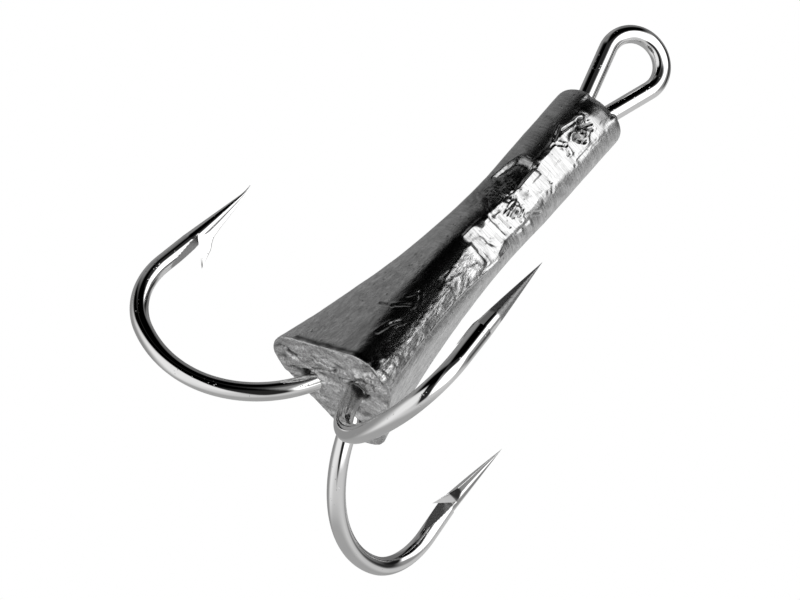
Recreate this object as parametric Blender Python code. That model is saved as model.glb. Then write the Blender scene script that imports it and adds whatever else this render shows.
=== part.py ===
"""Weighted treble hook: a brazed treble of nickelled round wire with a lead weight cast over its shank.

Frame: origin at the centre of the line eye, +Z up along the shank, hooks and weight below it.
One wire makes the eye and two of the hooks (double_hook). A second wire makes the third hook
(single_hook) and lies in the groove between the two shanks, towards +Y. Braze fills the three
grooves of the shank bundle, and the lead weight is cast over the bundle.
"""
import math

import bmesh
import bpy
from mathutils import Matrix, Vector

MM = 0.001

# Wire
WIRE_RADIUS = 1.0 * MM
SHANK_PITCH = 2.3 * MM          # centre to centre of the three shanks, 0.3 mm clear of each other
GROOVE_DEPTH = SHANK_PITCH * math.sqrt(3.0) / 2.0
BUNDLE_CENTRE = Vector((0.0, GROOVE_DEPTH / 3.0, 0.0))
BUNDLE_REACH = GROOVE_DEPTH * 2.0 / 3.0
WIRE_SIDES = 14
SHARP_ANGLE = math.radians(35.0)   # edges sharper than this are not shaded smooth

# Hook, in its own plane: straight shank, three arcs that tighten, straight point leg
SHANK_END_Z = -44.3 * MM
BEND_ARCS = ((14.65 * MM, 72.7), (13.4 * MM, 47.3), (7.1 * MM, 69.5))
ARC_STEP = math.radians(7.5)
LEAST_ARC_STEPS = 3
LEG_LENGTH = 3.9 * MM           # from the end of the bend to where the point starts to taper
POINT_LENGTH = 9.3 * MM
POINT_RINGS = 4
POINT_LAST_GAP = 0.15           # from the last ring to the tip, in ring spacings
POINT_FULLNESS = 1.15           # above 1 the taper is slightly barrelled
POINT_BLUNT = 0.04              # least radius of a ring, as a share of the wire's

# Each hook: where its shank stands, the azimuth of its plane, and how far its ground point
# turns outward from its leg
HOOKS = {
    "left": ((SHANK_PITCH / 2.0, 0.0), math.radians(-38.0), math.radians(-2.3)),
    "rear": ((-SHANK_PITCH / 2.0, 0.0), math.radians(215.9), math.radians(8.5)),
    "front": ((0.0, GROOVE_DEPTH), math.radians(90.0), math.radians(5.2)),
}

# Barb, as distances along the leg from the end of the bend and inward from the leg's axis
BARB_TIP = (3.3 * MM, 2.96 * MM)
BARB_ROOT = (5.2 * MM, 0.35 * MM)
BARB_FRONT = 10.8 * MM          # the sliver runs out inside the point here
BARB_FRONT_OUTWARD = 0.7 * MM
BARB_HALF_WIDTH = 0.68 * MM

# Line eye
EYE_RADIUS = 3.35 * MM          # of the wire's centre-line
EYE_LEG_END_Z = -8.1 * MM       # where the two legs of the eye come side by side
EYE_LEG_SETTLE = 0.5 * MM       # half the length over which a leg straightens into its shank
EYE_YAW = math.radians(-5.4)    # the loop is bent slightly round from the shanks' own plane
EYE_STEP = math.radians(12.0)
SINGLE_SHANK_TOP_Z = -10.5 * MM
SHANK_TOP_TAPER = 0.5           # end radius of the single hook's shank, as a share of the wire's

# Braze fillets in the grooves between the shanks
BRAZE_TOP_Z = -11.0 * MM
BRAZE_BOTTOM_Z = -43.0 * MM
BRAZE_GAP = 0.3 * MM
BRAZE_OUTER = 1.1 * MM          # height of the fillet's face above the line joining two shank centres
BRAZE_THROAT = 0.07 * MM        # half width of the fillet at its inner edge
BRAZE_STEPS = 5
BRAZE_SEAMS = {
    "braze_seam_back": math.radians(270.0),
    "braze_seam_left": math.radians(30.0),
    "braze_seam_right": math.radians(150.0),
}

# Lead weight: a rounded triangle at the base that flares out of a round neck, cast a little off centre
LEAD_TOP_Z = -7.95 * MM
LEAD_BASE_Z = -51.8 * MM
BASE_TILT = 0.087               # rise of the base face towards +Y, per unit of Y
TOP_TILT = 0.06                 # rise of the top face towards -X, per unit of X
BASE_OFFSET = Vector((1.17 * MM, 1.36 * MM, 0.0))
OFFSET_HEIGHT = 30.0 * MM       # height above the base at which the offset has gone
OFFSET_POWER = 1.6
CORNER_REACH = 4.72 * MM        # from the middle to a corner arc's centre, at the base
FLARE_HEIGHT = 28.0 * MM
FLARE_POWER = 1.88
CORNER_RADIUS = 3.72 * MM
NECK_RADIUS = 4.02 * MM
TOP_CHAMFER = 1.2 * MM
BASE_BEVEL = 0.3 * MM
ARC_POINTS = 11
LEAD_LEVELS = 14
LEVEL_BUNCHING = 1.4            # above 1 the levels are closer together near the base
CORNER_ANGLES = (math.radians(90.0), math.radians(210.0), math.radians(330.0))
CORNER_SWEEP = math.radians(120.0)
BORE_GAP = 0.3 * MM             # clearance of the lead's bore around the wires
BORE_BOTTOM_Z = -43.5 * MM      # where the common bore gives way to one bore for each hook
BORE_ARC_POINTS = 7
BORE_BEND_POINTS = 9            # points of the bend that a hook's bore follows, out past the base

STEEL = ("nickelled_wire", (0.62, 0.62, 0.63), 0.12, 1.0)
LEAD = ("cast_lead", (0.27, 0.27, 0.28), 0.38, 1.0)
BRAZE = ("braze", (0.55, 0.45, 0.24), 0.4, 1.0)


def clear_scene():
    for obj in list(bpy.data.objects):
        bpy.data.objects.remove(obj, do_unlink=True)


def material(spec):
    name, colour, roughness, metallic = spec
    made = bpy.data.materials.get(name)
    if made:
        return made
    made = bpy.data.materials.new(name)
    made.use_nodes = True
    shader = made.node_tree.nodes["Principled BSDF"]
    shader.inputs["Base Color"].default_value = (*colour, 1.0)
    shader.inputs["Roughness"].default_value = roughness
    shader.inputs["Metallic"].default_value = metallic
    return made


def finish_object(name, bm, spec=None):
    """Turn a bmesh into a linked object with outward faces, smooth except at its sharp edges."""
    bmesh.ops.recalc_face_normals(bm, faces=bm.faces)
    mesh = bpy.data.meshes.new(name)
    bm.to_mesh(mesh)
    bm.free()
    mesh.shade_smooth()
    mesh.set_sharp_from_angle(angle=SHARP_ANGLE)
    obj = bpy.data.objects.new(name, mesh)
    bpy.context.collection.objects.link(obj)
    if spec:
        mesh.materials.append(material(spec))
    return obj


def make_cutter(name, bm):
    cutter = finish_object(name, bm)
    cutter.hide_render = True
    cutter.display_type = "WIRE"
    return cutter


def add_boolean(obj, other, operation):
    modifier = obj.modifiers.new(other.name, "BOOLEAN")
    modifier.operation = operation
    modifier.solver = "EXACT"
    modifier.object = other


def bridge_rings(bm, rings):
    """Quads between each pair of neighbouring rings of equal length."""
    for lower, upper in zip(rings, rings[1:]):
        count = len(lower)
        for i in range(count):
            j = (i + 1) % count
            bm.faces.new((lower[i], lower[j], upper[j], upper[i]))


def close_end(bm, ring, apex):
    """A fan from a ring to an apex point, or a flat cap where there is none."""
    if apex is None:
        bm.faces.new(ring)
        return
    tip = bm.verts.new(apex)
    for i, vert in enumerate(ring):
        bm.faces.new((vert, ring[(i + 1) % len(ring)], tip))


def sweep_circle(path, start_apex=None, end_apex=None, grow=0.0):
    """A round tube through (point, radius) pairs, its rings carried along without twist."""
    points = [Vector(point) for point, _ in path]
    last = len(points) - 1
    normal = None
    rings = []
    bm = bmesh.new()
    for i, (point, radius) in enumerate(path):
        ahead = points[min(i + 1, last)]
        behind = points[max(i - 1, 0)]
        tangent = (ahead - behind).normalized()
        if normal is None:
            normal = tangent.orthogonal()
        normal = (normal - tangent * normal.dot(tangent)).normalized()
        side = tangent.cross(normal)
        ring = []
        for k in range(WIRE_SIDES):
            turn = 2.0 * math.pi * k / WIRE_SIDES
            offset = normal * math.cos(turn) + side * math.sin(turn)
            ring.append(bm.verts.new(point + offset * (radius + grow)))
        rings.append(ring)
    bridge_rings(bm, rings)
    close_end(bm, rings[0], start_apex)
    close_end(bm, rings[-1], end_apex)
    return bm


def in_plane(hook, rho, z):
    """A point of a hook's own plane, which stands on its shank; rho runs out from the shank."""
    (x, y), azimuth, _ = HOOKS[hook]
    return Vector((x + rho * math.cos(azimuth), y + rho * math.sin(azimuth), z))


def bend_profile():
    """Points (rho, z) from the end of the shank round the bend, and the leg's direction angle."""
    rho, z = 0.0, SHANK_END_Z
    heading = 0.0               # 0 is straight down, growing as the wire turns outward and up
    profile = [(rho, z)]
    for radius, degrees in BEND_ARCS:
        sweep = math.radians(degrees)
        steps = max(LEAST_ARC_STEPS, round(sweep / ARC_STEP))
        centre_rho = rho + radius * math.cos(heading)
        centre_z = z + radius * math.sin(heading)
        for i in range(1, steps + 1):
            angle = heading + sweep * i / steps
            profile.append((centre_rho - radius * math.cos(angle), centre_z - radius * math.sin(angle)))
        heading += sweep
        rho, z = profile[-1]
    return profile, heading


def leg_point(hook, along, inward):
    """A point at a distance along the leg from the end of the bend, and inward from its axis."""
    profile, heading = bend_profile()
    rho, z = profile[-1]
    rho += along * math.sin(heading) + inward * math.cos(heading)
    z += inward * math.sin(heading) - along * math.cos(heading)
    return in_plane(hook, rho, z)


def point_offset(hook, share):
    """How far outward the point's outer edge has turned, at a share of its length."""
    return share * POINT_LENGTH * math.tan(HOOKS[hook][2])


def hook_path(hook):
    """(centre, radius) pairs from the end of the shank to just short of the tip, and the tip."""
    profile, _ = bend_profile()
    path = [(in_plane(hook, rho, z), WIRE_RADIUS) for rho, z in profile]
    path.append((leg_point(hook, LEG_LENGTH, 0.0), WIRE_RADIUS))
    for i in range(1, POINT_RINGS + 1):
        share = i / (POINT_RINGS + POINT_LAST_GAP)
        radius = WIRE_RADIUS * max(1.0 - share ** POINT_FULLNESS, POINT_BLUNT)
        outward = WIRE_RADIUS - radius + point_offset(hook, share)
        path.append((leg_point(hook, LEG_LENGTH + share * POINT_LENGTH, -outward), radius))
    tip_outward = WIRE_RADIUS + point_offset(hook, 1.0)
    return path, leg_point(hook, LEG_LENGTH + POINT_LENGTH, -tip_outward)


def make_barb(hook):
    """The raised sliver behind the point: a solid hull from its back-swept tip into the wire."""
    azimuth = HOOKS[hook][1]
    across = Vector((-math.sin(azimuth), math.cos(azimuth), 0.0)) * BARB_HALF_WIDTH
    tip = leg_point(hook, *BARB_TIP)
    root = leg_point(hook, *BARB_ROOT)
    front_share = (BARB_FRONT - LEG_LENGTH) / POINT_LENGTH
    front = leg_point(hook, BARB_FRONT, -point_offset(hook, front_share) - BARB_FRONT_OUTWARD)
    bm = bmesh.new()
    for corner in (tip, root + across, root - across, front):
        bm.verts.new(corner)
    bmesh.ops.convex_hull(bm, input=bm.verts)
    return make_cutter("barb_" + hook, bm)


def eye_path():
    """(centre, radius) pairs up one leg of the eye, round its loop and down the other leg."""
    half = SHANK_PITCH / 2.0
    reach = math.hypot(half, EYE_LEG_END_Z)
    rise = math.atan2(-EYE_LEG_END_Z, -half) - math.asin(EYE_RADIUS / reach)
    run = math.sqrt(reach ** 2 - EYE_RADIUS ** 2)
    start = math.atan2(EYE_LEG_END_Z + run * math.sin(rise), half + run * math.cos(rise))
    sweep = math.pi - 2.0 * start
    steps = round(sweep / EYE_STEP)
    settle = Vector((math.cos(rise), 0.0, math.sin(rise))) * EYE_LEG_SETTLE
    leg_end = Vector((half, 0.0, EYE_LEG_END_Z))
    right_leg = [leg_end - Vector((0.0, 0.0, EYE_LEG_SETTLE)), leg_end + settle]
    loop = []
    for i in range(steps + 1):
        angle = start + sweep * i / steps
        loop.append(Vector((EYE_RADIUS * math.cos(angle), 0.0, EYE_RADIUS * math.sin(angle))))
    left_leg = [Vector((-point.x, 0.0, point.z)) for point in reversed(right_leg)]
    yaw = Matrix.Rotation(EYE_YAW, 3, "Z")
    return [(yaw @ point, WIRE_RADIUS) for point in right_leg + loop + left_leg]


def double_path():
    """The whole double hook's wire, from the left hook's point over the eye to the rear hook's."""
    left, left_tip = hook_path("left")
    rear, rear_tip = hook_path("rear")
    return left[::-1] + eye_path() + rear, left_tip, rear_tip


def single_path():
    """The single hook's wire, from the top of its shank to its point."""
    path, tip = hook_path("front")
    top = in_plane("front", 0.0, SINGLE_SHANK_TOP_Z)
    shoulder = in_plane("front", 0.0, SINGLE_SHANK_TOP_Z - WIRE_RADIUS)
    return [(top, WIRE_RADIUS * SHANK_TOP_TAPER), (shoulder, WIRE_RADIUS)] + path, tip


def make_double_hook():
    path, left_tip, rear_tip = double_path()
    obj = finish_object("double_hook", sweep_circle(path, left_tip, rear_tip), STEEL)
    add_boolean(obj, make_barb("left"), "UNION")
    add_boolean(obj, make_barb("rear"), "UNION")
    return obj


def make_single_hook():
    path, tip = single_path()
    obj = finish_object("single_hook", sweep_circle(path, None, tip), STEEL)
    add_boolean(obj, make_barb("front"), "UNION")
    return obj


def extrude_outline(outline, bottom_z, top_z):
    """An upright prism on a closed outline of (x, y) points."""
    bm = bmesh.new()
    rings = []
    for z in (bottom_z, top_z):
        rings.append([bm.verts.new((x, y, z)) for x, y in outline])
    bridge_rings(bm, rings)
    bm.faces.new(rings[0])
    bm.faces.new(rings[1])
    return bm


def groove_outline():
    """One fillet's section, in a frame with the two shank centres at x = +-half a pitch, y outward."""
    half = SHANK_PITCH / 2.0
    reach = WIRE_RADIUS + BRAZE_GAP
    outline = []
    inner = math.sqrt(reach ** 2 - (half - BRAZE_THROAT) ** 2)
    for sign in (1.0, -1.0):
        side = []
        for i in range(BRAZE_STEPS + 1):
            y = BRAZE_OUTER + (inner - BRAZE_OUTER) * i / BRAZE_STEPS
            x = half - math.sqrt(reach ** 2 - y ** 2)
            side.append((sign * x, y))
        outline += side if sign > 0.0 else side[::-1]
    return outline


def make_braze(name, turn):
    """The braze fillet in one of the three grooves; turn is the azimuth that the groove faces."""
    outline = []
    for x, y in groove_outline():
        out = BUNDLE_CENTRE.y + y
        outline.append((
            BUNDLE_CENTRE.x + out * math.cos(turn) - x * math.sin(turn),
            BUNDLE_CENTRE.y + out * math.sin(turn) + x * math.cos(turn),
        ))
    return finish_object(name, extrude_outline(outline, BRAZE_BOTTOM_Z, BRAZE_TOP_Z), BRAZE)


def lead_section(height, inset):
    """A rounded triangle with its corners towards the hooks, at a height above the lead's base."""
    share = height / (LEAD_TOP_Z - LEAD_BASE_Z)
    reach = CORNER_REACH * max(1.0 - height / FLARE_HEIGHT, 0.0) ** FLARE_POWER
    radius = CORNER_RADIUS + (NECK_RADIUS - CORNER_RADIUS) * share - inset
    off_centre = max(1.0 - (height / OFFSET_HEIGHT) ** OFFSET_POWER, 0.0)
    middle = BUNDLE_CENTRE + BASE_OFFSET * off_centre
    middle.z = LEAD_BASE_Z + height
    ring = []
    for corner in CORNER_ANGLES:
        centre = middle + Vector((math.cos(corner), math.sin(corner), 0.0)) * reach
        for i in range(ARC_POINTS):
            angle = corner + CORNER_SWEEP * (i / (ARC_POINTS - 1) - 0.5)
            point = centre + Vector((math.cos(angle), math.sin(angle), 0.0)) * radius
            point.z += BASE_TILT * point.y * (1.0 - share) ** 2 - TOP_TILT * point.x * share ** 2
            ring.append(point)
    return ring


def lead_levels():
    """(height, inset) of each section: bevelled base, sections close-set in the flare, chamfered top."""
    length = LEAD_TOP_Z - LEAD_BASE_Z
    last = length - TOP_CHAMFER
    levels = [(0.0, BASE_BEVEL)]
    for i in range(LEAD_LEVELS + 1):
        share = (i / LEAD_LEVELS) ** LEVEL_BUNCHING
        levels.append((BASE_BEVEL + (last - BASE_BEVEL) * share, 0.0))
    levels.append((length, TOP_CHAMFER))
    return levels


def lead_solid():
    bm = bmesh.new()
    rings = []
    for height, inset in lead_levels():
        rings.append([bm.verts.new(point) for point in lead_section(height, inset)])
    bridge_rings(bm, rings)
    bm.faces.new(rings[0])
    bm.faces.new(rings[-1])
    return bm


def bundle_bore():
    """The upright part of the bore: a rounded triangle round the three shanks."""
    radius = WIRE_RADIUS + BORE_GAP
    outline = []
    for corner in CORNER_ANGLES:
        shank = BUNDLE_CENTRE + Vector((math.cos(corner), math.sin(corner), 0.0)) * BUNDLE_REACH
        for i in range(BORE_ARC_POINTS):
            angle = corner + CORNER_SWEEP * (i / (BORE_ARC_POINTS - 1) - 0.5)
            outline.append((shank.x + radius * math.cos(angle), shank.y + radius * math.sin(angle)))
    return extrude_outline(outline, BORE_BOTTOM_Z, SINGLE_SHANK_TOP_Z + BORE_GAP)


def make_lead():
    obj = finish_object("lead_weight", lead_solid(), LEAD)
    add_boolean(obj, make_cutter("bundle_bore", bundle_bore()), "DIFFERENCE")
    for hook in HOOKS:
        path, _ = hook_path(hook)
        above = in_plane(hook, 0.0, BORE_BOTTOM_Z + WIRE_RADIUS)
        path = [(above, WIRE_RADIUS)] + path[:BORE_BEND_POINTS]
        add_boolean(obj, make_cutter("bore_" + hook, sweep_circle(path, grow=BORE_GAP)), "DIFFERENCE")
    legs = eye_path()
    for name, leg in (("right", legs[:2]), ("left", legs[-2:])):
        ends = [point for point, _ in leg]
        foot, head = sorted(ends, key=lambda point: point.z)
        slant = (head - foot).normalized()
        shank_x = math.copysign(SHANK_PITCH / 2.0, foot.x)
        path = [
            (Vector((shank_x, 0.0, SINGLE_SHANK_TOP_Z - WIRE_RADIUS)), WIRE_RADIUS),
            (foot, WIRE_RADIUS),
            (head, WIRE_RADIUS),
            (head + slant * EYE_LEG_SETTLE, WIRE_RADIUS),
        ]
        add_boolean(obj, make_cutter("eye_bore_" + name, sweep_circle(path, grow=BORE_GAP)), "DIFFERENCE")
    return obj


def main():
    clear_scene()
    make_double_hook()
    make_single_hook()
    for name, facing in BRAZE_SEAMS.items():
        make_braze(name, facing)
    make_lead()


main()
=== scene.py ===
"""Looks of the weighted treble hook: nickelled wire, a cast lead weight and a plain studio.

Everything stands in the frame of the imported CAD: origin at the centre of the line eye, +Z up along
the shank. Lengths are in millimetres here, and a mesh becomes metres when it is made.
"""
import math
from collections import namedtuple

import bmesh
import bpy
import numpy as np
from mathutils import Matrix, Vector


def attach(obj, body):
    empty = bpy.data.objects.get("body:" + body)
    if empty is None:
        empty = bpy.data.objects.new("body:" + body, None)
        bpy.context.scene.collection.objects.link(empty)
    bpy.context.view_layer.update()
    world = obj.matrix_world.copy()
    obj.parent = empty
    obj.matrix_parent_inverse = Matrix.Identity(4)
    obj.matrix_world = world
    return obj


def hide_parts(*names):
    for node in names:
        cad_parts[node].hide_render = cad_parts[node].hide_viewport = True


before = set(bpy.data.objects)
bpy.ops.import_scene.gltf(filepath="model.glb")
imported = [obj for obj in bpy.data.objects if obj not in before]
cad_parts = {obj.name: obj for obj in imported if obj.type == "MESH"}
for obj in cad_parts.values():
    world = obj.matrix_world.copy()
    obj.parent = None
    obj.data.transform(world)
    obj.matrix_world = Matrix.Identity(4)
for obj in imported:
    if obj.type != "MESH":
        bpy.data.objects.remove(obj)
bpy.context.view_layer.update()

METRES = 0.001

# -------------------- driving dimensions, as in the CAD

WIRE_RADIUS = 1.0
SHANK_PITCH = 2.3
GROOVE_DEPTH = SHANK_PITCH * math.sqrt(3.0) / 2.0
BUNDLE_CENTRE = np.array([0.0, GROOVE_DEPTH / 3.0])

SHANK_END_Z = -44.3
BEND_ARCS = ((14.65, 72.7), (13.4, 47.3), (7.1, 69.5))
LEG_LENGTH = 3.9
POINT_LENGTH = 9.3
POINT_FULLNESS = 1.15
POINT_BLUNT = 0.025

EYE_RADIUS = 3.35
EYE_LEG_END_Z = -8.1
EYE_LEG_SETTLE = 1.6
EYE_TURN_POINTS = 12
EYE_LEG_POINTS = 8
EYE_YAW = math.radians(-5.4)
SINGLE_SHANK_TOP_Z = -10.5
SINGLE_SHANK_TOP_SHARE = 0.5  # of the wire's radius

LEAD_TOP_Z = -7.95
LEAD_BASE_Z = -51.8
LEAD_LENGTH = LEAD_TOP_Z - LEAD_BASE_Z
BASE_TILT = 0.087
TOP_TILT = 0.06
BASE_OFFSET = np.array([1.17, 1.36])
OFFSET_HEIGHT = 30.0
OFFSET_POWER = 1.6
CORNER_REACH = 4.72
FLARE_HEIGHT = 28.0
FLARE_POWER = 1.88
CORNER_RADIUS = 3.72
NECK_RADIUS = 4.02
CORNER_AZIMUTHS = (90.0, 210.0, 330.0)

# Each hook: where its shank stands, the azimuth of its plane, how far its ground point turns outward
# from its leg, how far the last of its tip is curled outward, how matt its point is ground, how far
# its barb leans across for its height, and how far the barb's free tip is swung across
Hook = namedtuple("Hook", "x y azimuth turn curl matt barb_lean tip_swing")
HOOKS = {
    "left": Hook(SHANK_PITCH / 2.0, 0.0, math.radians(-38.0), math.radians(-2.3), 0.30, 0.0, 0.20, 0.22),
    "rear": Hook(-SHANK_PITCH / 2.0, 0.0, math.radians(215.9), math.radians(8.5), 0.0, 0.0, 0.38, 0.60),
    "front": Hook(0.0, GROOVE_DEPTH, math.radians(90.0), math.radians(5.2), 0.0, 1.0, 0.30, 0.22),
}

# -------------------- fineness of the visible meshes

WIRE_SIDES = 72
BEND_STEP = math.radians(1.6)
EYE_STEP = math.radians(2.5)
LEG_STEP = 0.1
LEAD_COLUMNS = 320
LEAD_ROWS = 236
BASE_RINGS = 44
TOP_RINGS = 14
WIRE_SHARP_ANGLE = math.radians(24.0)

# -------------------- small numeric helpers


def smooth_step(low, high, value):
    share = np.clip((value - low) / (high - low), 0.0, 1.0)
    return share * share * (3.0 - 2.0 * share)


def fall_off(low, high, value):
    return 1.0 - smooth_step(low, high, value)


def band(value, low, high, soft):
    """1 between low and high, falling to 0 over soft on each side."""
    return smooth_step(low - soft, low, value) * fall_off(high, high + soft, value)


def bump(value, centre, width):
    return np.exp(-((value - centre) / width) ** 2)


def lattice(cells, seed):
    """A repeatable random value from -1 to 1 for each integer cell of an (..., 3) array."""
    mixed = cells.astype(np.int64) * np.array([73856093, 19349663, 83492791])
    code = (mixed[..., 0] ^ mixed[..., 1] ^ mixed[..., 2]) + seed * 2654435761
    code = (code ^ (code >> 13)) * 1274126177 & 0xFFFFFFFF
    code = (code ^ (code >> 16)) * 2246822519 & 0xFFFFFFFF
    return (code ^ (code >> 15)) / 0xFFFFFFFF * 2.0 - 1.0


def soft_noise(points, size, seed):
    """Smooth value noise from -1 to 1, with features of about the given size."""
    scaled = points / size
    cell = np.floor(scaled)
    part = scaled - cell
    part = part * part * (3.0 - 2.0 * part)
    total = 0.0
    for corner in np.ndindex(2, 2, 2):
        weight = np.prod(np.where(corner, part, 1.0 - part), axis=-1)
        total = total + weight * lattice(cell + corner, seed)
    return total


def facet_noise(points, size, seed):
    """Noise made of flat facets that meet in creases: linear inside each tetrahedron of a warped lattice."""
    warp = [soft_noise(points, size * 1.3, seed + k) for k in (1, 2, 3)]
    scaled = points / size + 0.55 * np.stack(warp, axis=-1)
    cell = np.floor(scaled)
    part = scaled - cell
    order = np.argsort(-part, axis=-1)
    ranked = np.take_along_axis(part, order, axis=-1)
    value = lattice(cell, seed) * (1.0 - ranked[..., 0])
    corner = np.zeros_like(part)
    for k in range(3):
        np.put_along_axis(corner, order[..., k:k + 1], 1.0, axis=-1)
        nearer = ranked[..., k + 1] if k < 2 else 0.0
        value = value + lattice(cell + corner, seed) * (ranked[..., k] - nearer)
    return value


def layered_noise(points, size, seed, layers=4, gain=0.5):
    return sum(gain ** k * soft_noise(points, size * 0.5 ** k, seed + 7 * k) for k in range(layers))


def noise_sum(noise, points, layers):
    """A sum of noises, each given as its height, size and seed."""
    return sum(height * noise(points, size, seed) for height, size, seed in layers)


# -------------------- meshes


def mesh_object(name, vertices, faces, material):
    mesh = bpy.data.meshes.new(name)
    mesh.from_pydata((np.asarray(vertices) * METRES).tolist(), [], faces)
    mesh.validate()
    mesh.shade_smooth()
    mesh.materials.append(material)
    made = bpy.data.objects.new(name, mesh)
    bpy.context.scene.collection.objects.link(made)
    return made


def ring_faces(rings, sides, start=0):
    """Quads between neighbouring rings of a tube whose vertices are stored ring after ring."""
    faces = []
    for i in range(rings - 1):
        low = start + i * sides
        for k in range(sides):
            after = (k + 1) % sides
            faces.append((low + k, low + after, low + sides + after, low + sides + k))
    return faces


def closed_tube(rings, first_apex, last_apex):
    """Vertices and faces of a tube through an (n, sides, 3) array, closed by a fan at each end."""
    count, sides, _ = rings.shape
    vertices = np.concatenate([rings.reshape(-1, 3), [first_apex], [last_apex]])
    faces = ring_faces(count, sides)
    first, last = count * sides, count * sides + 1
    top = (count - 1) * sides
    for k in range(sides):
        after = (k + 1) % sides
        faces.append((after, k, first))
        faces.append((top + k, top + after, last))
    return vertices, faces


def write_attribute(target, name, values):
    layer = target.data.attributes.new(name, "FLOAT", "POINT")
    layer.data.foreach_set("value", np.asarray(values, np.float32))


def vertex_array(target):
    flat = np.zeros(len(target.data.vertices) * 3, np.float32)
    target.data.vertices.foreach_get("co", flat)
    return flat.reshape(-1, 3).astype(float) / METRES


def unite(target, addition):
    """Join a closed piece to the target as one closed skin."""
    modifier = target.modifiers.new("unite", "BOOLEAN")
    modifier.operation = "UNION"
    modifier.solver = "EXACT"
    modifier.object = addition
    bpy.context.view_layer.update()
    evaluated = target.evaluated_get(bpy.context.evaluated_depsgraph_get())
    joined = bpy.data.meshes.new_from_object(evaluated)
    target.modifiers.clear()
    old = target.data
    target.data = joined
    bpy.data.meshes.remove(old)
    bpy.data.objects.remove(addition)


# -------------------- shader helpers


def new_material(name):
    made = bpy.data.materials.new(name)
    made.use_nodes = True
    made.node_tree.nodes.clear()
    return made, made.node_tree


def node(tree, kind, inputs=None, output=0, **settings):
    """Add a node, set or link its inputs, and return one of its output sockets."""
    made = tree.nodes.new("ShaderNode" + kind)
    for key, value in settings.items():
        setattr(made, key, value)
    for key, value in (inputs or {}).items():
        if isinstance(value, bpy.types.NodeSocket):
            tree.links.new(value, made.inputs[key])
        else:
            made.inputs[key].default_value = value
    return made.outputs[output] if made.outputs else None


def maths(tree, operation, a, b=0.0, c=0.0, clamp=False):
    return node(tree, "Math", {0: a, 1: b, 2: c}, operation=operation, use_clamp=clamp)


def times(tree, a, b):
    return maths(tree, "MULTIPLY", a, b)


def times_plus(tree, a, b, c):
    return maths(tree, "MULTIPLY_ADD", a, b, c)


def remap(tree, value, low, high, to_low=0.0, to_high=1.0):
    inputs = {"Value": value, "From Min": low, "From Max": high, "To Min": to_low, "To Max": to_high}
    return node(tree, "MapRange", inputs)


def mix_colours(tree, factor, first, second):
    return node(tree, "Mix", {"Factor": factor, 6: first, 7: second}, output=2, data_type="RGBA")


def mix_values(tree, factor, first, second):
    return node(tree, "Mix", {"Factor": factor, 2: first, 3: second}, data_type="FLOAT")


def object_point(tree, scale=(1.0, 1.0, 1.0), rotation=(0.0, 0.0, 0.0)):
    """The surface point in millimetres, turned and stretched."""
    place = node(tree, "TexCoord", output="Object")
    in_mm = tuple(axis / METRES for axis in scale)
    return node(tree, "Mapping", {"Vector": place, "Scale": in_mm, "Rotation": rotation})


def noise_node(tree, point, scale, detail=4.0, roughness=0.5, distortion=0.0):
    inputs = {"Vector": point, "Scale": scale, "Detail": detail}
    inputs.update({"Roughness": roughness, "Distortion": distortion})
    return node(tree, "TexNoise", inputs)


def grey(level, warmth=0.0):
    return (level * (1.0 + warmth), level, level * (1.0 - warmth), 1.0)


def finish_shader(tree, inputs):
    shader = node(tree, "BsdfPrincipled", inputs)
    node(tree, "OutputMaterial", {"Surface": shader})


def finish_metal(tree, colour, roughness, height, strength, depth):
    """A metal surface whose relief is a height field of the given depth in millimetres."""
    normal = node(tree, "Bump", {"Strength": strength, "Distance": depth * METRES, "Height": height})
    finish_shader(tree, {
        "Base Color": colour, "Metallic": 1.0, "Roughness": roughness, "Normal": normal,
    })


# -------------------- materials

# What each vertex of the lead carries for its material, and the heights (z, in mm) between which
# the marks along the weight give way to the marks round it
# painted_shade holds painted shade; tarnish_and_shade holds tarnish together with painted shade on the
# leaning top of the strip
LEAD_SURFACES = ("worn", "rough_cast", "painted_shade", "tarnish_and_shade")
BRUSHED_FROM_TO = (-38.0, -29.0)


def nickel_material():
    """Bright nickel over drawn wire, with handling marks; matt where the attribute 'ground' is 1."""
    made, tree = new_material("nickelled_wire")
    point = object_point(tree)
    ground = node(tree, "Attribute", output="Fac", attribute_name="ground")
    cloud = noise_node(tree, point, 0.35, detail=3.0)
    grain = noise_node(tree, point, 7.0, detail=5.0, roughness=0.7)
    nick_cells = node(tree, "TexVoronoi", {"Vector": point, "Scale": 2.6, "Randomness": 1.0})
    nick_field = noise_node(tree, point, 0.22, detail=2.0, roughness=0.6)
    nick = maths(tree, "MULTIPLY", remap(tree, nick_cells, 0.10, 0.20, 1.0, 0.0),
                 remap(tree, nick_field, 0.53, 0.58), clamp=True)
    polished = mix_colours(tree, cloud, grey(0.80), grey(0.88, 0.006))
    nicked = mix_colours(tree, times(tree, nick, 0.35), polished, grey(0.30))
    filed = mix_colours(tree, remap(tree, grain, 0.3, 0.7), grey(0.14), grey(0.46))
    colour = mix_colours(tree, ground, nicked, filed)
    smooth = remap(tree, cloud, 0.3, 0.7, 0.02, 0.045)
    roughness = mix_values(tree, ground, smooth, remap(tree, grain, 0.3, 0.7, 0.36, 0.55))
    ripple = noise_node(tree, point, 1.1, detail=2.0)
    height = times_plus(tree, nick, -3.2, times(tree, ripple, 0.3))
    height = mix_values(tree, ground, height, times(tree, grain, 1.6))
    finish_metal(tree, colour, roughness, height, strength=0.25, depth=0.04)
    return made


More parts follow.
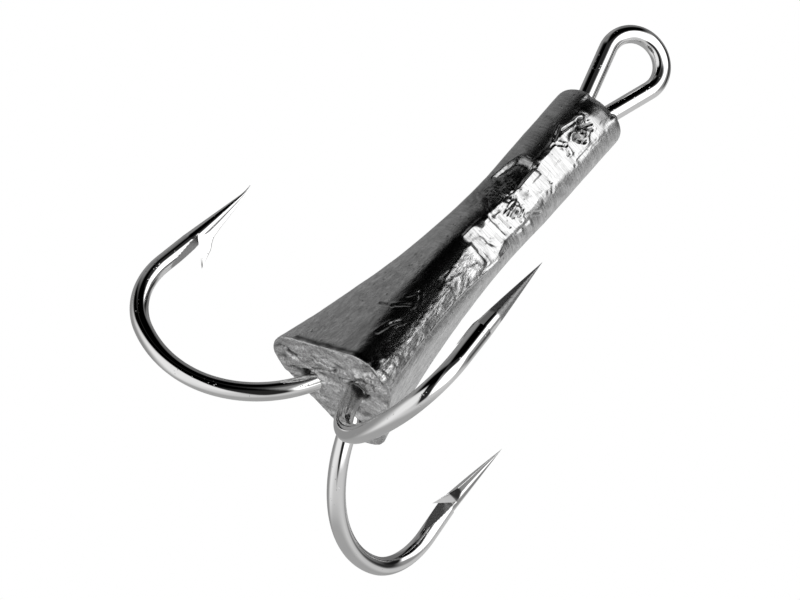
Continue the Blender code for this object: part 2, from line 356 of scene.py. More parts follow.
def lead_material():
    """Grey cast lead: bright where it was rubbed or beaten, brushed round, rough in places, with painted
    shade darkening its pits, grooves, lower edge and hollows.
    """
    made, tree = new_material("cast_lead")
    point = object_point(tree)
    worn, rough_cast, painted_shade, tarnish_and_shade = (
        node(tree, "Attribute", output="Fac", attribute_name=name) for name in LEAD_SURFACES)
    height_z = node(tree, "SeparateXYZ", {"Vector": point}, output="Z")
    upper = remap(tree, height_z, *BRUSHED_FROM_TO)
    brushed = object_point(tree, scale=(0.25, 0.25, 2.6), rotation=(0.10, 0.06, 0.0))
    drawn = object_point(tree, scale=(2.4, 2.4, 0.5), rotation=(0.30, -0.25, 0.0))
    mottle = noise_node(tree, point, 1.1, detail=6.0, roughness=0.65)
    round_hair = noise_node(tree, brushed, 1.7, detail=6.0, roughness=0.75, distortion=0.5)
    long_hair = noise_node(tree, drawn, 1.5, detail=6.0, roughness=0.75, distortion=0.7)
    hair = mix_values(tree, upper, long_hair, round_hair)
    grain = noise_node(tree, point, 3.2, detail=5.0, roughness=0.75)
    flow = noise_node(tree, drawn, 0.8, detail=6.0, roughness=0.7, distortion=1.6)
    pit_cells = node(tree, "TexVoronoi", {"Vector": point, "Scale": 1.1, "Randomness": 1.0})
    shaded_pit = remap(tree, pit_cells, 0.06, 0.15, 1.0, 0.0)
    dull = mix_colours(tree, remap(tree, mottle, 0.35, 0.65), grey(0.66), grey(0.92))
    streak = remap(tree, hair, 0.40, 0.64)
    dull = mix_colours(tree, times(tree, streak, 0.62), dull, grey(0.34))
    bright = mix_colours(tree, remap(tree, hair, 0.38, 0.64), grey(0.78), grey(0.44))
    colour = mix_colours(tree, worn, dull, bright)
    # painted shade: the pits are darkened towards near black
    colour = mix_colours(tree, times(tree, shaded_pit, 0.6), colour, grey(0.12))
    cast_share = times_plus(tree, grain, 0.35, times(tree, flow, 0.65))
    cast = mix_colours(tree, remap(tree, cast_share, 0.42, 0.55), grey(0.12), grey(0.97))
    colour = mix_colours(tree, times(tree, rough_cast, 0.7), colour, cast)
    # tarnish, and painted shade on the leaning top of the strip
    colour = mix_colours(tree, tarnish_and_shade, colour, grey(0.22))
    # painted shade: near black in the grooves, along the lower edge of the side and in the hollows of the
    # base
    colour = mix_colours(tree, times(tree, painted_shade, 0.9), colour, grey(0.02))
    roughness = mix_values(tree, worn, remap(tree, mottle, 0.3, 0.7, 0.14, 0.24), 0.15)
    roughness = times_plus(tree, streak, 0.07, roughness)
    roughness = mix_values(tree, rough_cast, roughness, 0.17)
    height = times_plus(tree, hair, 1.5, times(tree, mottle, 1.6))
    height = times_plus(tree, shaded_pit, -0.9, height)
    height = mix_values(tree, rough_cast, height, times_plus(tree, cast_share, 3.6, height))
    height = times(tree, height, remap(tree, worn, 0.0, 1.0, 1.0, 0.4))
    finish_metal(tree, colour, roughness, height, strength=0.6, depth=0.05)
    return made


def braze_material():
    """Dull yellow braze with darker flux stains."""
    made, tree = new_material("braze")
    point = object_point(tree)
    stain = noise_node(tree, point, 0.9, detail=5.0)
    colour = mix_colours(tree, stain, (0.55, 0.40, 0.16, 1.0), (0.30, 0.22, 0.12, 1.0))
    roughness = remap(tree, stain, 0.3, 0.7, 0.3, 0.55)
    ripple = noise_node(tree, object_point(tree, scale=(1.0, 1.0, 2.5)), 1.5, detail=3.0)
    finish_metal(tree, colour, roughness, ripple, strength=0.4, depth=0.08)
    return made


# -------------------- wire


def radial(hook):
    return np.array([math.cos(hook.azimuth), math.sin(hook.azimuth), 0.0])


def bend_profile(step):
    """(rho, z) points from the end of the shank round the bend, and the leg's heading."""
    rho, z, heading = 0.0, SHANK_END_Z, 0.0
    profile = [(rho, z)]
    for radius, degrees in BEND_ARCS:
        sweep = math.radians(degrees)
        steps = round(sweep / step)
        centre_rho = rho + radius * math.cos(heading)
        centre_z = z + radius * math.sin(heading)
        for i in range(1, steps + 1):
            angle = heading + sweep * i / steps
            profile.append((centre_rho - radius * math.cos(angle), centre_z - radius * math.sin(angle)))
        heading += sweep
        rho, z = profile[-1]
    return profile, heading


LegFrame = namedtuple("LegFrame", "origin along inward across")


def leg_frame(hook):
    """Where the leg starts, and its directions: along it, inward to the shank, and across its plane."""
    profile, heading = bend_profile(BEND_STEP)
    rho, z = profile[-1]
    out, up = radial(hook), np.array([0.0, 0.0, 1.0])
    origin = np.array([hook.x, hook.y, z]) + rho * out
    along = math.sin(heading) * out - math.cos(heading) * up
    inward = math.cos(heading) * out + math.sin(heading) * up
    return LegFrame(origin, along, inward, np.cross(along, inward))


def point_radius(share):
    return WIRE_RADIUS * np.maximum(1.0 - share ** POINT_FULLNESS, POINT_BLUNT)


CURL_START = 0.80  # share of the point's length at which a curled tip starts to bend


def outward_turn(hook, share):
    """How far outward the outer edge of the point has moved at a share of its length."""
    curl = hook.curl * np.clip((share - CURL_START) / (1.0 - CURL_START), 0.0, 1.0) ** 2
    return share * POINT_LENGTH * math.tan(hook.turn) + curl


def hook_line(hook):
    """Centre-line and radii from the end of the shank to the tip, and the tip itself."""
    profile, _ = bend_profile(BEND_STEP)
    base = np.array([hook.x, hook.y, 0.0])
    centres = [base + rho * radial(hook) + np.array([0.0, 0.0, z]) for rho, z in profile]
    radii = [WIRE_RADIUS] * len(centres)
    leg = leg_frame(hook)
    length = LEG_LENGTH + POINT_LENGTH
    steps = round(length / LEG_STEP)
    for i in range(1, steps):
        distance = length * i / steps
        share = max(distance - LEG_LENGTH, 0.0) / POINT_LENGTH
        radius = float(point_radius(share))
        outward = WIRE_RADIUS - radius + outward_turn(hook, share)
        centres.append(leg.origin + distance * leg.along - outward * leg.inward)
        radii.append(radius)
    tip = leg.origin + length * leg.along - (WIRE_RADIUS + outward_turn(hook, 1.0)) * leg.inward
    return np.array(centres), np.array(radii), tip


def rounded_corner(before, corner, after, steps):
    """Points of a smooth turn that starts at before, heads for the corner and ends at after."""
    shares = np.linspace(0.0, 1.0, steps)[:, None]
    return (1 - shares) ** 2 * before + 2 * shares * (1 - shares) * corner + shares ** 2 * after


def eye_line():
    """The line eye's centre-line, from one shank round the loop to the other."""
    half = SHANK_PITCH / 2.0
    reach = math.hypot(half, EYE_LEG_END_Z)
    rise = math.atan2(-EYE_LEG_END_Z, -half) - math.asin(EYE_RADIUS / reach)
    run = math.sqrt(reach ** 2 - EYE_RADIUS ** 2)
    start = math.atan2(EYE_LEG_END_Z + run * math.sin(rise), half + run * math.cos(rise))
    steps = round((math.pi - 2.0 * start) / EYE_STEP)
    angles = np.linspace(start, math.pi - start, steps + 1)
    loop = EYE_RADIUS * np.stack([np.cos(angles), np.zeros_like(angles), np.sin(angles)], axis=1)
    leg_end = np.array([half, 0.0, EYE_LEG_END_Z])
    slope = np.array([math.cos(rise), 0.0, math.sin(rise)])
    drop = np.array([0.0, 0.0, EYE_LEG_SETTLE])
    turn = rounded_corner(leg_end - drop, leg_end, leg_end + slope * EYE_LEG_SETTLE, EYE_TURN_POINTS)
    straight = np.linspace(turn[-1], loop[0], EYE_LEG_POINTS)[1:-1]
    right = np.concatenate([turn, straight])
    left = right[::-1] * np.array([-1.0, 1.0, 1.0])
    line = np.concatenate([right, loop, left])
    yaw = np.array([
        [math.cos(EYE_YAW), -math.sin(EYE_YAW), 0.0],
        [math.sin(EYE_YAW), math.cos(EYE_YAW), 0.0],
        [0.0, 0.0, 1.0],
    ])
    return line @ yaw.T


def wire_rings(centres, radii):
    """Rings of a round wire along its centre-line, carried along without twist."""
    tangents = np.gradient(centres, axis=0)
    tangents /= np.linalg.norm(tangents, axis=1, keepdims=True)
    angles = np.arange(WIRE_SIDES) * 2.0 * math.pi / WIRE_SIDES
    circle = np.stack([np.cos(angles), np.sin(angles)], axis=1)
    normal = np.array(Vector(tangents[0]).orthogonal().normalized())
    rings = np.empty((len(centres), WIRE_SIDES, 3))
    for i, (centre, tangent) in enumerate(zip(centres, tangents)):
        normal = normal - tangent * (normal @ tangent)
        normal /= np.linalg.norm(normal)
        spread = circle @ np.stack([normal, np.cross(tangent, normal)])
        rings[i] = centre + radii[i] * spread
    return rings


# The barb: a cut ground down into the leg, and the sliver raised over it, in the leg's directions
CUT_START = 0.5
CUT_END = 4.8
CUT_DEPTH = 0.62
CUT_EXIT = 0.25  # past its end the cut's level rises over this length
CUT_EXIT_RISE = 3.0  # by this much, well clear of the wire
INNER_LIMIT = 0.8  # a ring further inward, for its radius, isn't on the leg
NO_LIMIT = 9.0
BARB_ROOT = 0.35  # level of its root in the wire, as a share of the wire's radius
BARB_HALF_WIDTH = 0.92
BARB_ROOF_POWER = 1.3  # hollows the sides of its roof on the point
BARB_TAPER = 1.2  # how it narrows towards its free tip
BARB_SECTIONS = 70
BARB_ROOF_POINTS = 25
BARB_CROWDING = 1.6  # its points gather towards the ridge by this power
BARB_RIDGE_ROUND = 0.10  # the ridge is rounded over this share of the half width
# The sliver's ridge, from its free tip to the front: distance along the leg, and height over the
# outer edge of the point
BARB_ALONG = (2.6, 4.9, 5.6, 6.1, 7.4, 8.9, 10.4, 11.9, 12.8)
BARB_RIDGE = (4.33, 3.07, 2.48, 2.14, 1.70, 1.28, 0.84, 0.42, 0.13)
BARB_SPACING = 1.4  # its sections gather towards the free tip by this power
BARB_PEAKING = 1.5  # length over which they become hollow
BARB_UNDERSIDE = 0.02  # sag of its underside between its edges
HALF_TURN_OF_FACETS = math.radians(52.0)
FACET_DEPTH = 0.90
MATT_START = 5.4
MATT_BLEND = 0.5
CUT_MATT = 0.85
CUT_CLOSENESS = (0.02, 0.05)  # a point counts as on the cut up to here, and not past here
CUT_FADE = 0.3
LEG_REACH = (1.2, 4.0)  # how far across and inward a point still belongs to the leg
STAIN = 0.55  # dulling of the matt hook's wire where it leaves the lead
STAIN_REACH = 5.5
STAIN_FULL = 0.4  # share of its reach before it fades


def cut_level(distance):
    """How far inward of the leg's centre-line the metal reaches where the barb was cut."""
    share = np.clip((distance - CUT_START) / (CUT_END - CUT_START), 0.0, 1.0)
    open_end = smooth_step(CUT_END, CUT_END + CUT_EXIT, distance)
    return WIRE_RADIUS - CUT_DEPTH * share + CUT_EXIT_RISE * open_end


def grind_flat(rings, centres, direction, limits):
    """Press whatever stands further than limits from each ring's centre back onto a flat."""
    over = np.maximum((rings - centres[:, None]) @ direction - limits[:, None], 0.0)
    return rings - over[..., None] * direction


def grind_hook(hook, rings, centres, radii):
    """Cut the leg under the barb, and grind two shallow facets along the outer side of the point."""
    leg = leg_frame(hook)
    distance = (centres - leg.origin) @ leg.along
    on_leg = (distance > 0.0) & ((centres - leg.origin) @ leg.inward < INNER_LIMIT * WIRE_RADIUS)
    rings = grind_flat(rings, centres, leg.inward, np.where(on_leg, cut_level(distance), NO_LIMIT))
    tapering = on_leg & (distance > LEG_LENGTH)
    for side in (-1.0, 1.0):
        turn = side * HALF_TURN_OF_FACETS
        direction = -math.cos(turn) * leg.inward + math.sin(turn) * leg.across
        limits = np.where(tapering, FACET_DEPTH * radii, NO_LIMIT)
        rings = grind_flat(rings, centres, direction, limits)
    return rings


def barb_levels(hook, distance):
    """Inward levels of the sliver's ridge and root, and the wire's radius, at a distance along the leg."""
    share = max(distance - LEG_LENGTH, 0.0) / POINT_LENGTH
    radius = float(point_radius(share))
    outer_edge = -WIRE_RADIUS - outward_turn(hook, share)
    ridge = outer_edge + float(np.interp(distance, BARB_ALONG, BARB_RIDGE))
    return ridge, outer_edge + radius * (1.0 + BARB_ROOT), radius


def barb_sliver(hook, material):
    """The raised sliver: a fin along the inner side of the point, its free tip pointing down the leg."""
    leg = leg_frame(hook)
    start, front = BARB_ALONG[0], BARB_ALONG[-1]
    tip_level = barb_levels(hook, start)[0]
    cut_root = barb_levels(hook, CUT_END)[1]
    spread = np.linspace(-1.0, 1.0, BARB_ROOF_POINTS)
    across = np.sign(spread) * np.abs(spread) ** BARB_CROWDING
    down = np.hypot(across, BARB_RIDGE_ROUND) - BARB_RIDGE_ROUND
    down = down / down[0]
    rings = []
    for i in range(1, BARB_SECTIONS):
        distance = start + (front - start) * (i / BARB_SECTIONS) ** BARB_SPACING
        ridge, root, radius = barb_levels(hook, distance)
        freed = min((distance - start) / (CUT_END - start), 1.0)
        if freed < 1.0:
            root = tip_level + (cut_root - tip_level) * freed
        swing = hook.tip_swing * (1.0 - freed)
        half_width = BARB_HALF_WIDTH * freed ** BARB_TAPER * radius
        on_point = smooth_step(CUT_END, CUT_END + BARB_PEAKING, distance)
        rise = (ridge - root) * (1.0 - down) ** (1.0 + (BARB_ROOF_POWER - 1.0) * on_point)
        inward = np.append(root + rise, root - BARB_UNDERSIDE * freed)
        sideways = np.append(across * half_width + hook.barb_lean * rise, 0.0) + swing
        rings.append(leg.origin + distance * leg.along
                     + inward[:, None] * leg.inward + sideways[:, None] * leg.across)
    tip = leg.origin + start * leg.along + tip_level * leg.inward + hook.tip_swing * leg.across
    nose = leg.origin + front * leg.along + barb_levels(hook, front)[0] * leg.inward
    vertices, faces = closed_tube(np.array(rings), tip, nose)
    sliver = mesh_object("barb", vertices, faces, material)
    face_outward(sliver)
    return sliver


def face_outward(target):
    """Turn a closed mesh's faces outward."""
    bm = bmesh.new()
    bm.from_mesh(target.data)
    bmesh.ops.recalc_face_normals(bm, faces=bm.faces)
    bm.to_mesh(target.data)
    bm.free()


def ground_share(points, hooks):
    """How matt each point of the wire is: the cut under a barb, a matt hook's point, and by the lead."""
    share = np.zeros(len(points))
    reach_across, reach_inward = LEG_REACH
    leg_end = LEG_LENGTH + POINT_LENGTH + WIRE_RADIUS
    for hook in hooks:
        leg = leg_frame(hook)
        local = points - leg.origin
        distance, inward, across = local @ leg.along, local @ leg.inward, local @ leg.across
        near = (np.abs(across) < reach_across) & (distance > 0.0) & (distance < leg_end)
        near &= (inward > -reach_inward) & (inward < reach_inward)
        over_cut = np.abs(inward - cut_level(np.minimum(distance, CUT_END)))
        on_cut = fall_off(*CUT_CLOSENESS, over_cut)
        cut = CUT_MATT * on_cut * band(distance, CUT_START, CUT_END, CUT_FADE)
        blend = smooth_step(MATT_START, MATT_START + MATT_BLEND, distance)
        share[near] = np.maximum(share, np.maximum(cut, hook.matt * blend))[near]
        by_lead = np.hypot(points[:, 0] - hook.x, points[:, 1] - hook.y) < STAIN_REACH
        depth = LEAD_BASE_Z - points[:, 2]
        full, fade = STAIN_FULL * STAIN_REACH, (1.0 - STAIN_FULL) * STAIN_REACH
        stain = hook.matt * STAIN * band(depth, 0.0, full, fade)
        share = np.where(by_lead, np.maximum(share, stain), share)
    return share


def wire_piece(name, centres, radii, first_tip, last_tip, hooks, material):
    rings = wire_rings(centres, radii)
    for key in hooks:
        rings = grind_hook(HOOKS[key], rings, centres, radii)
    vertices, faces = closed_tube(rings, first_tip, last_tip)
    piece = mesh_object(name, vertices, faces, material)
    face_outward(piece)
    for key in hooks:
        unite(piece, barb_sliver(HOOKS[key], material))
    piece.data.shade_smooth()
    piece.data.set_sharp_from_angle(angle=WIRE_SHARP_ANGLE)
    write_attribute(piece, "ground", ground_share(vertex_array(piece), [HOOKS[key] for key in hooks]))
    return piece


def double_hook(material):
    left, left_radii, left_tip = hook_line(HOOKS["left"])
    rear, rear_radii, rear_tip = hook_line(HOOKS["rear"])
    eye = eye_line()
    centres = np.concatenate([left[::-1], eye, rear])
    radii = np.concatenate([left_radii[::-1], np.full(len(eye), WIRE_RADIUS), rear_radii])
    return wire_piece("double_hook_wire", centres, radii, left_tip, rear_tip, ("left", "rear"), material)


def single_hook(material):
    front, radii, tip = hook_line(HOOKS["front"])
    top = np.array([HOOKS["front"].x, HOOKS["front"].y, SINGLE_SHANK_TOP_Z])
    shoulder = top - np.array([0.0, 0.0, WIRE_RADIUS])
    centres = np.concatenate([[top, shoulder], front])
    radii = np.concatenate([[SINGLE_SHANK_TOP_SHARE * WIRE_RADIUS, WIRE_RADIUS], radii])
    return wire_piece("single_hook_wire", centres, radii, top, tip, ("front",), material)


# -------------------- lead weight


def lead_outline(azimuths, height, inset=0.0, scale=1.0):
    """Points of the weight's rounded triangle at the given azimuths round its middle, at one height."""
    share = height / LEAD_LENGTH
    reach = CORNER_REACH * max(1.0 - height / FLARE_HEIGHT, 0.0) ** FLARE_POWER
    radius = CORNER_RADIUS + (NECK_RADIUS - CORNER_RADIUS) * share - inset
    off_centre = max(1.0 - (height / OFFSET_HEIGHT) ** OFFSET_POWER, 0.0)
    middle = BUNDLE_CENTRE + BASE_OFFSET * off_centre
    away = (azimuths[:, None] - np.radians(CORNER_AZIMUTHS) + math.pi) % (2.0 * math.pi) - math.pi
    from_corner = np.abs(away).min(axis=1)
    last_of_arc = math.atan2(radius * math.sin(math.pi / 3.0), reach + radius / 2.0)
    arc = reach * np.cos(from_corner) + np.sqrt(
        np.maximum(radius ** 2 - (reach * np.sin(from_corner)) ** 2, 0.0))
    side = (reach / 2.0 + radius) / np.cos(math.pi / 3.0 - from_corner)
    out = np.where(from_corner <= last_of_arc, arc, side) * scale
    x = middle[0] + out * np.cos(azimuths)
    y = middle[1] + out * np.sin(azimuths)
    z = LEAD_BASE_Z + height + BASE_TILT * y * (1.0 - share) ** 2 - TOP_TILT * x * share ** 2
    return np.stack([x, y, z], axis=1)


BASE_ROUND = 0.14
TOP_ROUND = 1.15
TOP_INSET = 0.92  # how far in the rounding brings the top's edge
BASE_ROUND_RINGS = 4
TOP_ROUND_RINGS = 8
BASE_ZONE, SIDE_ZONE, TOP_ZONE = 0, 1, 2


def lead_grid():
    """Rings from the middle of the base, up the side and over the rounded top to its middle."""
    azimuths = np.arange(LEAD_COLUMNS) * 2.0 * math.pi / LEAD_COLUMNS
    rings = []  # (points, height, zone)
    for scale in np.linspace(0.0, 1.0, BASE_RINGS + 1)[1:]:
        rings.append((lead_outline(azimuths, 0.0, BASE_ROUND, scale), 0.0, BASE_ZONE))
    for quarter in np.linspace(0.0, math.pi / 2.0, BASE_ROUND_RINGS + 2)[1:-1]:
        height = BASE_ROUND * (1.0 - math.cos(quarter))
        inset = BASE_ROUND * (1.0 - math.sin(quarter))
        rings.append((lead_outline(azimuths, height, inset), height, SIDE_ZONE))
    for height in np.linspace(BASE_ROUND, LEAD_LENGTH - TOP_ROUND, LEAD_ROWS):
        rings.append((lead_outline(azimuths, height), height, SIDE_ZONE))
    for quarter in np.linspace(0.0, math.pi / 2.0, TOP_ROUND_RINGS + 1)[1:]:
        height = LEAD_LENGTH - TOP_ROUND * (1.0 - math.sin(quarter))
        inset = TOP_INSET * (1.0 - math.cos(quarter))
        rings.append((lead_outline(azimuths, height, inset), height, SIDE_ZONE))
    for scale in np.linspace(1.0, 0.0, TOP_RINGS + 1)[1:-1]:
        rings.append((lead_outline(azimuths, LEAD_LENGTH, TOP_INSET, scale), LEAD_LENGTH, TOP_ZONE))
    points, heights, zones = zip(*rings)
    return np.array(points), azimuths, np.array(heights), np.array(zones)


def grid_normals(rings):
    round_way = np.roll(rings, -1, axis=1) - np.roll(rings, 1, axis=1)
    up_way = np.gradient(rings, axis=0)
    normals = np.cross(round_way, up_way)
    return normals / np.maximum(np.linalg.norm(normals, axis=2, keepdims=True), 1e-9)


# Marks on the side of the weight. Places are (azimuth in degrees round the middle, height over the base).
STRIP_EDGES = (61.0, 112.0)  # the beaten strip that runs down the front corner
STRIP_HEIGHTS = (20.4, 41.6)
STRIP_RISE = 0.05
TOP_BEVEL = (41.4, 0.40, 56.0, 102.0)  # the strip leans back above this height: by how much, from, to
BEVEL_PAINTED_SHADE = 0.8  # painted shade: how far the leaning part is painted dark grey
TOP_FIN = (114.0, 43.0, 0.12)  # a torn corner at the top: azimuth, height, how far it stands
ROUGH_TOP = 19.5  # below it the strip is rough as cast, between these edges
ROUGH_DRAWN_DOWN = np.array([1.0, 1.0, 0.45])  # its grain is drawn out along the weight
ROUGH_HEIGHTS = (0.0, 2.0, 4.0, 8.0, 12.0, 14.0, 16.0, 19.5)
ROUGH_LEFT = (87.0, 87.0, 91.0, 91.0, 90.0, 83.0, 79.0, 73.0)
FIN_HEIGHTS = (0.0, 4.0, 8.0, 12.0, 16.0, 18.0, 22.0)
FIN_AZIMUTHS = (104.0, 105.0, 106.0, 108.5, 113.0, 117.5, 125.0)
CREST_AZIMUTH = 93.5
RUBBED_EDGES = (58.0, 84.0)  # smooth metal between the flat side and the rough strip
SCOOP_EDGES = (17.0, 68.0)  # the dent with a sharp upper lip, beside the strip
SCOOP_LIP = 33.1
SCOOP_DEPTH = 0.46
SCOOP_LENGTH = 6.2
DRAG_HEIGHTS = (25.2, 29.6)  # where the tool dragged across below the dent
DRAG_SLANT = 0.03  # how far its lines fall for each degree round the weight
HATCH_SLANT = -0.045  # and the lines that cross them, which climb
HATCH_EDGES = (18.0, 62.0)
HATCH_HEIGHTS = (26.5, 31.5)
LINE_WIDTH = 0.16  # in the noise's values
LINE_STRETCH = np.array([0.22, 0.22, 1.0])  # both run round the weight, so they are drawn out that way
LIP_FALL = (38.0, 18.0, 2.2)  # below this azimuth the lip falls: over how many degrees, how far
LIP_FALL_LIMIT = 1.5  # it stops falling after this many times those degrees
# Patches the hammer tilted: azimuth, height, half width in degrees, half height, and how steeply each
# rises towards its upper and its left edge
FACETS = (
    (72, 39, 9, 1.6, -0.06, 0.04), (88, 38.9, 7, 1.1, 0.16, -0.10),
    (72, 31.3, 7.5, 0.9, 0.14, 0.08),
    (88, 26.7, 8, 0.8, 0.08, 0.06), (104, 40.2, 8, 1.6, -0.04, -0.04),
    (118, 20.8, 6, 1.7, 0.16, -0.08),
    (106, 18.4, 8, 1.3, 0.14, -0.06), (127, 27.3, 9, 0.40, 0.08, 0.03),
    (126, 25.9, 8, 0.40, 0.08, 0.03), (113, 38.4, 5, 1.8, 0.04, -0.05),
)
# Stretches of the strip beaten flat: middle azimuth, half width in degrees, heights from and to, depth
FLATS = (
    (92, 15, 14.5, 20.4, 0.10), (85, 26, 20.4, 22.4, 0.38), (89, 20, 22.4, 24.3, 0.24),
    (87, 23, 24.3, 26.8, 0.30), (84, 18, 28, 32.3, 0.19),
    (88, 20, 32.6, 36.1, 0.20), (84, 22, 36.9, 41, 0.14),
)
FLAT_SMOOTHNESS = 0.45  # share of the small facets that a flat stretch loses
# Grooves and cuts, as (azimuth, height) from and to, with depth and half width
GROOVES = (
    (65, 36, 79, 36.7, 0.13, 0.14), (79, 36.7, 92, 36.2, 0.13, 0.14),
    (92, 36.2, 113, 36, 0.07, 0.13), (51, 38.3, 60, 36.5, 0.08, 0.13),
    (60, 36.5, 65, 35.5, 0.07, 0.13), (60, 38.1, 69, 40.3, 0.16, 0.17),
    (69, 40.3, 80, 38.1, 0.20, 0.18), (71, 38.6, 85, 40.6, 0.18, 0.17),
    (82, 38.2, 95, 38.6, 0.24, 0.26), (79, 39.6, 93, 40.2, 0.18, 0.18),
    (69, 40, 76, 39.2, 0.18, 0.20), (75, 39.2, 82, 39.3, 0.20, 0.22),
    (84, 39.2, 91, 39, 0.20, 0.24), (58, 40.8, 72, 40, 0.08, 0.13),
    (63, 32.4, 101, 32.5, 0.08, 0.13), (101, 32.5, 114, 31.9, 0.07, 0.13),
    (88, 35.4, 88.5, 32.6, 0.02, 0.08), (95, 27.9, 100, 27, 0.10, 0.14),
    (100, 27, 108, 26.8, 0.10, 0.14), (77, 25.3, 101, 25.3, 0.08, 0.13),
    (60, 29, 84, 27.6, 0.07, 0.13), (80, 27.4, 84, 26.2, 0.12, 0.16),
    (85, 27.5, 90, 26.3, 0.12, 0.16), (90, 27.2, 94, 26.4, 0.12, 0.16),
    (106, 28, 122, 29.4, 0.06, 0.12), (59, 20.35, 112, 20.3, 0.08, 0.16),
    (70, 21.5, 104, 21.4, 0.03, 0.12),
    (46, 8.1, 60, 8.3, 0.11, 0.14), (60, 8.3, 74, 9.6, 0.08, 0.13),
    (64, 10.3, 71, 11.6, 0.05, 0.11), (71, 11.6, 77, 10.8, 0.05, 0.11),
    (69, 4.2, 73, 6.2, 0.07, 0.12), (73, 6.2, 78, 7.2, 0.07, 0.12),
    (5, 26.6, 34, 25.4, 0.07, 0.13), (38, 26.6, 68, 27.8, 0.08, 0.13),
    (30, 27.6, 60, 28.4, 0.06, 0.12), (18, 38.9, 40, 38.3, 0.06, 0.13),
    (22, 16.1, 44, 14.9, 0.05, 0.12), (16, 12.7, 30, 12.7, 0.04, 0.12),
)
# How dull the side is at each height over the base, away from the strip
TARNISH_HEIGHTS = (0.0, 14.0, 20.0, 24.0, 27.5, 29.5, 32.0, 36.0, 40.0, 43.8)
TARNISH = (0.0, 0.05, 0.15, 0.25, 0.55, 0.55, 0.42, 0.42, 0.30, 0.30)
DEGREE = 0.075  # millimetres of the neck's surface to a degree of azimuth
DEGREE_FLARE = (0.9, 22.0)  # it is larger by this share at the base, and up to this height

# Layers of noise, each with its height, size and seed
BEATEN_FACETS = ((0.14, 2.3, 11), (0.05, 1.0, 12), (0.018, 0.4, 13))
ROUGH_FACETS = ((0.06, 0.48, 35), (0.04, 0.26, 36))
FOOT_FACETS = ((0.24, 1.0, 38), (0.10, 0.45, 39))
EDGE_WOBBLE = ((2.2, 2.2, 31), (1.4, 0.7, 32))  # in degrees

FIN_HEIGHT = 0.15
FIN_END = (21.0, 24.5)  # heights between which the fin dies out
CREST_HEIGHT = 0.30
CREST_HALF_WIDTH = 1.7
CREST_POWER = 1.4
CREST_END = (13.0, 19.0)
BEAD_HEIGHT = 0.08
RIDGE_WIDTH = 0.14  # of the fin and the bead
FOOT = (95.0, 11.0, 2.0, 4.5)  # the crest's crumpled foot: azimuth, half width, heights it fades over
LOW_EDGE = (0.07, 0.2, 1.0)  # its unevenness, and the heights it fades over
EDGE_PAINTED_SHADE = (0.45, 0.28, -20.0, 80.0)  # a line of painted shade over that edge: height, half width, azimuths
GROOVE_PAINTED_SHADE = 5.0  # painted shade in a groove, for each millimetre of its depth
DEEPEST_PAINTED_SHADE = 0.9
HANDLED = (58.0, 9.0, 19.0, 24.0, 0.5)  # dulled by hand: azimuth, half width, heights it fades over, share
TARNISH_EDGES = (-60.0, 60.0)
DRAG_ROUGHNESS = 0.45
DENT_BRIGHTNESS = 0.6
RUBBED_END = (22.0, 25.0)


def from_segment(azimuth, height, groove):
    """Distance in millimetres of each point of the side from a groove's line."""
    x0, y0, x1, y1 = groove[0] * DEGREE, groove[1], groove[2] * DEGREE, groove[3]
    x, y = azimuth * DEGREE - x0, height - y0
    run, rise = x1 - x0, y1 - y0
    share = np.clip((x * run + y * rise) / (run * run + rise * rise), 0.0, 1.0)
    return np.hypot(x - share * run, y - share * rise)


def pulled_lip(distance, depth, width):
    """A cut with the metal it displaced standing as a low lip beside it."""
    return depth * (0.45 * bump(distance, 2.1 * width, 0.8 * width) - bump(distance, 0.0, width))


def beaten_strip(points, azimuth, height, strip):
    """Facets, tilted patches and the bevelled top of the strip along the front corner."""
    beaten = noise_sum(facet_noise, points, BEATEN_FACETS)
    ragged = azimuth + 3.0 * soft_noise(points, 0.9, 17)
    uneven = height + 0.25 * soft_noise(points, 0.8, 18)
    sunk, flat = np.zeros_like(height), np.zeros_like(height)
    for middle, half_width, low, high, depth in FLATS:
        chord = np.clip(1.0 - ((ragged - middle) / half_width) ** 2, 0.0, 1.0)
        here = band(uneven, low, high, 0.22)
        sunk = sunk + depth * chord * here
        flat = np.maximum(flat, here * smooth_step(0.0, 0.2, chord))
    beaten = beaten * (1.0 - FLAT_SMOOTHNESS * flat)
    patches = smooth_step(-0.25, 0.25, soft_noise(points, 2.6, 14))
    move = strip * (beaten * (0.5 + 0.75 * patches) + STRIP_RISE) - sunk
    for middle, level, half_width, half_height, upper, left in FACETS:
        across, up = (azimuth - middle) / half_width, (height - level) / half_height
        reach = np.maximum(np.abs(across), np.abs(up)) + 0.20 * soft_noise(points, 0.7, 15)
        lift = upper * up + abs(upper) + left * (1.0 - across)
        move = move + lift * fall_off(0.7, 1.2, reach)
    bevel_from, lean, low, high = TOP_BEVEL
    leaning = np.clip((height + 0.2 * soft_noise(points, 1.5, 16) - bevel_from), 0.0, None)
    move = move - lean * leaning / (LEAD_LENGTH - bevel_from) * band(azimuth, low, high, 9.0)
    fin_azimuth, fin_from, fin_reach = TOP_FIN
    fin = bump(azimuth, fin_azimuth, 5.0) * smooth_step(fin_from - 0.6, LEAD_LENGTH, height)
    return move + fin_reach * fin


def thin_lines(points, size, seed):
    """Share of thin wandering lines, where a noise passes through zero."""
    return fall_off(0.0, LINE_WIDTH, np.abs(soft_noise(points, size, seed)))


def slanted_points(points, azimuth, slant):
    """Points for a noise whose lines run round the weight, falling by slant for each degree."""
    return points * LINE_STRETCH + np.array([0.0, 0.0, slant]) * azimuth[..., None]


